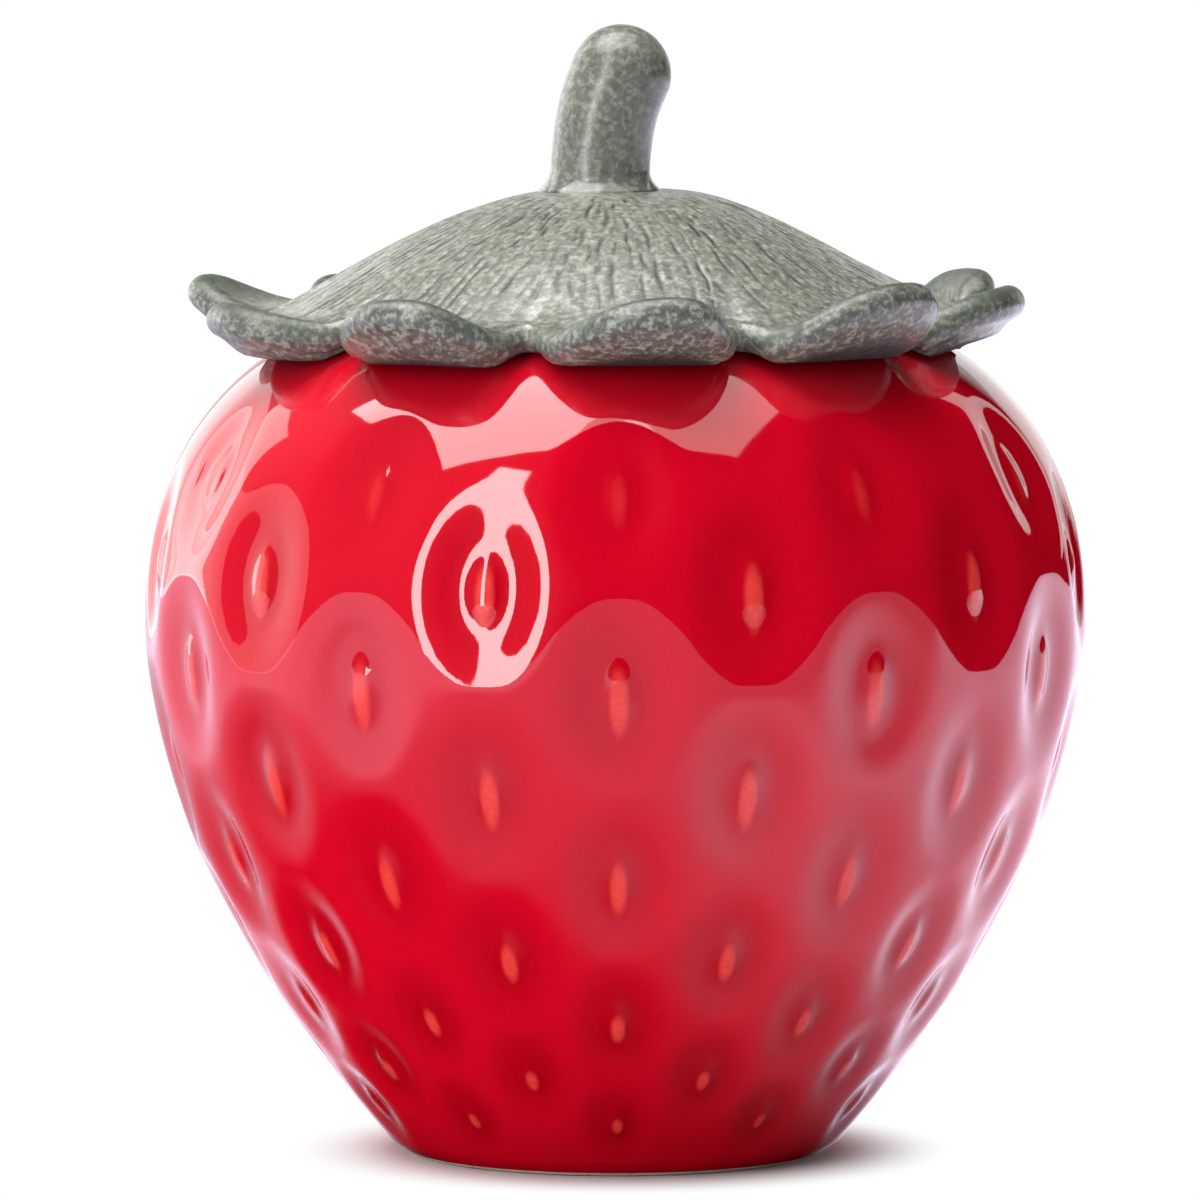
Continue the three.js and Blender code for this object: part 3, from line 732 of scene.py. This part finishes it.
def makeCalyx():
    turns, edges, lengths, lifts, curls, nears, fulls = calyxOutline()
    outline = ringAt(turns, edges, 0.0)[:, :2]
    along = np.roll(outline, -1, axis=0) - np.roll(outline, 1, axis=0)
    along /= np.linalg.norm(along, axis=1, keepdims=True)
    outward = np.stack([along[:, 1], -along[:, 0]], axis=1)
    sector = fullTurn / len(calyx["sepals"])
    notch = math.radians(calyx["turn"]) + sector / 2
    span = calyx["notchRadius"] + lengths - calyx["valleyRadius"]

    def creaseAt(plan):
        radius = np.linalg.norm(plan, axis=1)
        turn = np.arctan2(plan[:, 0], -plan[:, 1]) - notch
        across = (turn - np.round(turn / sector) * sector) * radius
        return np.exp(-(across / calyx["creaseWidth"]) ** 2) * ease(radius, *calyx["creaseReach"])

    def topAt(plan):
        radius = np.linalg.norm(plan, axis=1)
        past = np.clip(radius - calyx["valleyRadius"], 0, None) / span
        height = crownTop(radius) - crownSlump(plan[:, 0], radius)
        return height + lifts * past ** curls - calyx["crease"] * creaseAt(plan)

    # how steeply a sepal rises there, as an angle
    def leanAt(plan):
        radius = np.linalg.norm(plan, axis=1)
        past = np.clip(radius - calyx["valleyRadius"], 0.01, None) / span  # never 0, for the power
        rise = lifts * curls * past ** (curls - 1) / span * ease(past, *calyx["leanShares"])
        return np.arctan(rise * np.sum(plan * outward, axis=1) / radius)

    def circle(radius):
        return ringAt(turns, radius, 0.0)[:, :2]

    def ringOn(plan, height):
        return np.column_stack([plan, calyx["valleyHeight"] + np.broadcast_to(height, len(plan))])

    half = calyx["thickness"] / 2
    half = half - calyx["notchThinning"] * creaseAt(outline) - calyx["tipThinning"] * (1 - nears)
    inset = outline - outward * half[:, None]
    lip = inset - outward * (half * np.sin(leanAt(inset)))[:, None]  # where the rounded edge begins
    lean = leanAt(lip)
    crownEdge = calyx["spigotRadius"]
    crownMiddle = calyx["valleyHeight"] + float(crownTop(0))
    crownRadii = np.linspace(calyx["poleRing"], crownEdge, calyx["crownRings"])
    spread = np.linspace(0, 1, calyx["sepalRings"] + 1)[1:]
    grooves = crownStrokes(turns, np.concatenate([crownRadii, crownEdge + spread * combing["spill"]]))

    # laid from the top of the crown out over the sepals and back under them
    stack = RingStack("under", "stroke", "rim", "pool")
    stack.add(pole(crownMiddle))
    for radius, groove in zip(crownRadii, grooves):
        plan = circle(radius)
        groove = groove * ease(radius, *combing["fadeIn"])
        stack.add(ringOn(plan, topAt(plan) - combing["depth"] * groove), stroke=groove)
    for share, groove in zip(spread, grooves[len(crownRadii):]):
        plan = circle(crownEdge) * (1 - share) + lip * share
        groove = groove * ease(share, *combing["fadeOut"])
        rim = ease(share, *calyx["rimShares"]) * (1 - nears ** 3)
        ring = ringOn(plan, topAt(plan) - combing["depth"] * groove)
        stack.add(ring, stroke=groove, rim=rim, pool=creaseAt(plan))
    for angle in np.linspace(90, -90, calyx["edgeRings"] + 1)[1:]:
        tilt = math.radians(angle) + lean
        reach = half * (np.sin(lean) + np.cos(tilt))
        rise = half * (np.sin(tilt) - np.cos(lean))
        ring = ringOn(lip + outward * reach[:, None], topAt(lip) + rise)
        # the lower side of the edge darkens: thinner glaze and painted shade
        under = float(ease(angle, *calyx["thinGlazeAndShadeAngles"]))
        rim = float(ease(angle, *calyx["rimAngles"])) * (1 - nears ** 3)
        pool = creaseAt(outline) * float(ease(angle, *calyx["poolAngles"]))
        stack.add(ring, under=under, rim=rim, pool=pool)
    for share in np.linspace(0, 1, calyx["underRings"] + 1)[1:]:
        plan = lip * (1 - share) + circle(calyx["seatRadius"]) * share
        depth = 2 * half * (1 - share) + calyx["thickness"] * share
        depth = depth + fulls * ease(share, *calyx["fullRise"]) * ease(share, *calyx["fullFall"])
        slant = leanAt(plan)
        below = outward * (depth * np.sin(slant))[:, None]
        ring = ringOn(plan + below, topAt(plan) - depth * np.cos(slant))
        # painted shade sets in under the sepals
        stack.add(ring, under=1.0 + float(ease(share, *calyx["underShadeShares"])))
    for radius, height in spigotProfile():
        stack.add(ringAt(turns, radius, calyx["valleyHeight"] + height), under=3.0)
    stack.add(pole(crownMiddle - calyx["thickness"]), under=3.0)
    stack.flip()

    piece = loftMesh("calyxLid", stack, [calyxGlaze])
    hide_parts("lid_calyx")
    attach(piece, "lid")


makeCalyx()

stem = {
    "foot": (-2.15, 133.0),  # along X, and height
    "lean": 2.9,
    "height": 22.95,
    "footRadius": 8.6,
    "shaftRadius": 6.8,
    "tipRadius": 6.9,
    "flare": 3.0,
    "flarePower": 1.9,
    "sink": 0.3,  # of the foot's middle
    "bed": 0.06,  # of the flare in the crown
    "thinness": 0.4,  # of the glaze
    "tipStart": 0.65,  # share of the shaft from which the tip's glaze thickens
    "tipGlaze": 0.12,
    "topGlaze": 0.08,  # more on the very top
    "footJoinShade": 0.7,  # painted shade round the foot, where it meets the crown
    "footJoinShadeHeights": (0.55, 0.1),
    "poolHeights": (2.4, 1.4),
    "sides": 72,
    "shaftRings": 52,
    "ringGather": 1.5,  # how closely the rings gather at the foot
    "tipRings": 16,
}


def makeStem():
    footX, footZ = stem["foot"]
    tipRadius, thinness = stem["tipRadius"], stem["thinness"]
    shaft = stem["height"] - tipRadius
    lean = stem["lean"]
    knots = np.array([(0, 0), (0, 0.5 * shaft), (0.35 * lean, 0.75 * shaft), (lean, shaft)])
    angles = np.linspace(0, fullTurn, stem["sides"], endpoint=False)

    def spineAt(share):
        rest = 1 - share
        weights = np.array([rest ** 3, 3 * rest ** 2 * share, 3 * rest * share ** 2, share ** 3])
        pulls = np.array([rest ** 2, 2 * rest * share, share ** 2])
        heading = pulls @ np.diff(knots, axis=0)
        return weights @ knots, heading / np.linalg.norm(heading)

    # a ring across the spine; near the foot it settles on the crown
    def ringOf(centre, heading, radius, settle=0.0):
        x = footX + centre[0] + radius * np.sin(angles) * heading[1]
        y = -radius * np.cos(angles)
        z = footZ + centre[1] - radius * np.sin(angles) * heading[0]
        crown = calyx["valleyHeight"] + crownTop(np.hypot(x, y)) - footZ - stem["bed"]
        return np.stack([x, y, z + crown * settle], axis=1)

    stack = RingStack("under", "stroke", "rim", "pool")
    stack.add(pole(footZ - stem["sink"], footX), under=thinness)
    for share in np.linspace(0, 1, stem["shaftRings"]) ** stem["ringGather"]:
        centre, heading = spineAt(share)
        flare = max(0.0, 1 - centre[1] / stem["flare"])
        radius = stem["shaftRadius"] + (tipRadius - stem["shaftRadius"]) * share
        radius += (stem["footRadius"] - stem["shaftRadius"]) * flare ** stem["flarePower"]
        # painted shade round the foot
        footJoinShade = float(ease(centre[1], *stem["footJoinShadeHeights"])) * stem["footJoinShade"]
        rim = float(ease(share, stem["tipStart"], 1.0)) * stem["tipGlaze"]
        pool = float(ease(centre[1], *stem["poolHeights"]))
        ring = ringOf(centre, heading, radius, flare ** 2)
        stack.add(ring, under=thinness, stroke=footJoinShade, rim=rim, pool=pool)
    centre, heading = spineAt(1.0)
    for angle in np.linspace(0, math.pi / 2, stem["tipRings"] + 2)[1:-1]:
        lifted = centre + heading * tipRadius * math.sin(angle)
        rim = stem["tipGlaze"] + stem["topGlaze"] * math.sin(angle)
        stack.add(ringOf(lifted, heading, tipRadius * math.cos(angle)), under=thinness, rim=rim)
    top = centre + heading * tipRadius
    rim = stem["tipGlaze"] + stem["topGlaze"]
    stack.add(pole(footZ + top[1], footX + top[0]), under=thinness, rim=rim)

    piece = loftMesh("stemKnob", stack, [stemGlaze])
    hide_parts("stem_knob")
    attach(piece, "lid")


makeStem()

seal = {
    "inner": 34.5,
    "band": 35.4,
    "fin": 36.7,
    "top": 111.55,
    "height": 4.6,
    "edge": 0.2,
    "fins": 2,
    "finPower": 0.6,
    "finRoot": 0.75,  # half the height of a fin at the band
    "finThinning": 0.35,
    "finRings": 9,
    "segments": 160,
}


def makeSeal():
    turns = np.linspace(0, fullTurn, seal["segments"], endpoint=False)
    inner, band, top, edge = seal["inner"], seal["band"], seal["top"], seal["edge"]
    bottom, pitch = top - seal["height"], seal["height"] / seal["fins"]
    profile = [(inner, bottom + edge), (inner + edge, bottom), (band, bottom)]
    for fin in range(seal["fins"]):
        middle = bottom + pitch * (fin + 0.5)
        for angle in np.linspace(-90, 90, seal["finRings"]):
            bulge = math.cos(math.radians(angle))
            reach = band + (seal["fin"] - band) * bulge ** seal["finPower"]
            half = seal["finRoot"] - seal["finThinning"] * bulge
            profile.append((reach, middle + half * math.sin(math.radians(angle))))
    profile += [(band, top), (inner + edge, top), (inner, top - edge)]
    stack = RingStack()
    for radius, height in profile + profile[:1]:
        stack.add(ringAt(turns, radius, height))
    piece = loftMesh("sealBand", stack, [silicone])
    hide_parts("seal_ring")
    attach(piece, "seal")


makeSeal()

studio = {
    "floorRings": (150.0, 600.0, 1900.0),  # radii in millimetres
    "floorSides": 96,
    "floorDrop": 0.05,  # just under the foot
    "floorColour": chart(240, 240, 242),
    "floorGrain": chart(232, 232, 235),
    "grainScale": 400,
    "ambient": 0.17,
    "ambientSides": (0.35, 1.3),  # its share on the left, and how much more on the right
    "ambientSpan": (-0.6, 0.6),
    "backdrop": 0.72,  # as the glaze mirrors it
    "backdropEdge": (0.86, 0.92),
    "leftGlow": 0.17,  # dim walls on the left, as the glaze mirrors them; the right of the room is dark
    # name: place, aim, width, height in metres, and brightness
    "lamps": {
        "topBoxLeft": ((-0.45, 0.0, 1.2), (-0.45, 0.0, 0.0), 0.90, 1.0, 7.0),
        "topBoxRight": ((0.265, 0.0, 1.2), (0.265, 0.0, 0.0), 0.53, 1.0, 2.6),
        "keyStrip": ((-0.765, -1.045, 0.93), (0.0, 0.0, 0.93), 0.28, 1.9, 10.3),
        "leftPanel": ((-1.27, 0.47, 0.27), (0.0, 0.0, 0.27), 1.10, 0.62, 0.95),
        "leftStrip": ((-0.98, 0.83, 0.46), (0.0, 0.0, 0.46), 0.42, 1.0, 2.5),
        "leftBack": ((-0.60, 1.22, 0.36), (0.0, 0.0, 0.36), 0.70, 0.78, 1.2),
        "rightBack": ((0.49, 1.31, 0.27), (0.0, 0.0, 0.27), 0.67, 0.38, 0.5),
        "rightStrip": ((0.83, 1.125, 0.62), (0.0, 0.0, 0.62), 0.16, 1.0, 1.3),
    },
}

# the floor as the glaze mirrors it glows with painted light: a painted shadow close to the jar, and
# painted brighter pools behind it and to the right;
# a pair is where it changes, in metres along X or Y or from the middle
mirroredFloor = {
    "foot": (0.029, 0.047),
    "shadeShift": (0.055, 0.03, 0.0),  # the shade's middle lies this far to the left and front
    "shadeShape": (0.6, 1.0, 1.0),
    "nearShade": (0.035, 0.08),
    "farShade": (0.07, 0.17),
    "behind": (-0.015, 0.02),
    "behindLeft": (0.07, 0.13),
    "right": (-0.02, 0.13),
    "rightFront": (-0.28, -0.03),
    "rightBack": (0.4, 1.2),
    "left": (0.14, 0.3),
    "level": 0.62,
    "moreRight": 1.35,
    "moreLeft": 0.75,
    "moreBehind": 0.7,
    "tint": (1.0, 0.93, 1.16, 1),
    "brightest": 2.0,
}
black, white = (0, 0, 0, 1), (1, 1, 1, 1)


def makeFloor():
    look = mirroredFloor
    finish, sheet, where = newFinish("paperFloor")
    direct, mirrored = sheet.rays()
    across, deep = sheet.plan(where)
    grain = sheet.noise(where, studio["grainScale"])
    base = sheet.blend(grain * 0.2, studio["floorColour"], studio["floorGrain"])
    paper = sheet.node("ShaderNodeBsdfDiffuse", None, {"Color": base})

    clear = sheet.length(where).between(*look["foot"])
    spot = sheet.vector("MULTIPLY", sheet.vector("ADD", where, look["shadeShift"]), look["shadeShape"])
    # painted shadow of the jar, which only reflections see
    away = sheet.length(spot)
    shade = (away.between(*look["nearShade"]) * 0.65 + away.between(*look["farShade"]) * 0.35) * clear
    behind = deep.between(*look["behind"]) * (1 - (0 - across).between(*look["behindLeft"]))
    shade = shade + (1 - shade) * behind * 0.85
    # painted brighter pools to the right, left and behind, which only reflections see
    right = across.between(*look["right"]) * deep.between(*look["rightFront"])
    right = right * (1 - deep.between(*look["rightBack"]) * 0.8)
    left = (0 - across).between(*look["left"])
    seen = look["level"] + right * look["moreRight"] + left * look["moreLeft"]
    seen = seen + behind * (1 - right) * look["moreBehind"]
    level = 1 - mirrored + mirrored * shade * seen

    tint = sheet.blend(mirrored, white, look["tint"])
    glow = sheet.blend(level * (1 / look["brightest"]), black, tint)
    lit = sheet.node("ShaderNodeEmission", None, {"Color": glow, "Strength": look["brightest"]})
    # seen directly, the paper keeps the shadow round the foot and fades to white
    mixed = sheet.node("ShaderNodeMixShader", None, {0: mirrored + clear * direct, 1: paper, 2: lit})
    sheet.node("ShaderNodeOutputMaterial", None, {"Surface": mixed})

    turns = np.linspace(0, fullTurn, studio["floorSides"], endpoint=False)
    stack = RingStack()
    stack.add(pole(-studio["floorDrop"]))
    for radius in studio["floorRings"]:
        stack.add(ringAt(turns, radius, -studio["floorDrop"]))
    loftMesh("paperFloor", stack, [finish])


def makeWorld():
    world = bpy.data.worlds.new("studio")
    bpy.context.scene.world = world
    sheet = Sheet(world)
    direct, mirrored = sheet.rays()
    across, deep = sheet.plan(sheet.node("ShaderNodeTexCoord", out="Generated"))
    back = deep.between(*studio["backdropEdge"])
    left = (0 - across).between(0.0, 0.5) * (1 + deep.between(0.0, 0.4))
    room = back * studio["backdrop"] + (1 - back) * left * studio["leftGlow"]
    share, more = studio["ambientSides"]
    fill = studio["ambient"] * (share + across.between(*studio["ambientSpan"]) * more)
    unseen = (1 - direct) * (1 - mirrored)
    level = direct + mirrored * (1 - direct) * room + unseen * fill
    glow = sheet.blend(level, black, white)
    light = sheet.node("ShaderNodeBackground", None, {"Color": glow, "Strength": 1.0})
    sheet.node("ShaderNodeOutputWorld", None, {"Surface": light})


# puts a lamp or camera in its place, turned to what it is aimed at
def hang(name, data, place, aim):
    holder = bpy.data.objects.new(name, data)
    holder.location = place
    holder.rotation_mode = "QUATERNION"
    holder.rotation_quaternion = (Vector(aim) - Vector(place)).to_track_quat("-Z", "Y")
    bpy.context.collection.objects.link(holder)
    return holder


def makeLamps():
    for name, (place, aim, width, height, brightness) in studio["lamps"].items():
        lamp = bpy.data.lights.new(name, "AREA")
        lamp.shape = "RECTANGLE"
        lamp.size, lamp.size_y = width, height
        lamp.energy = brightness * math.pi * width * height
        hang(name, lamp, place, aim).visible_camera = False


makeFloor()
makeWorld()
makeLamps()
print("studio lit")

view = {
    "place": (-0.00215, -1.49, 0.202),
    "aim": (-0.00215, 0.0, 0.0764),
    "lens": 324.4,
    "sensor": 36.0,
    "reach": 50.0,
}


def makeCamera():
    camera = bpy.data.cameras.new("camera")
    camera.lens = view["lens"]
    camera.sensor_width = view["sensor"]
    camera.clip_end = view["reach"]
    bpy.context.scene.camera = hang("camera", camera, view["place"], view["aim"])


makeCamera()
bpy.context.scene.view_settings.view_transform = "Standard"
print("camera set")
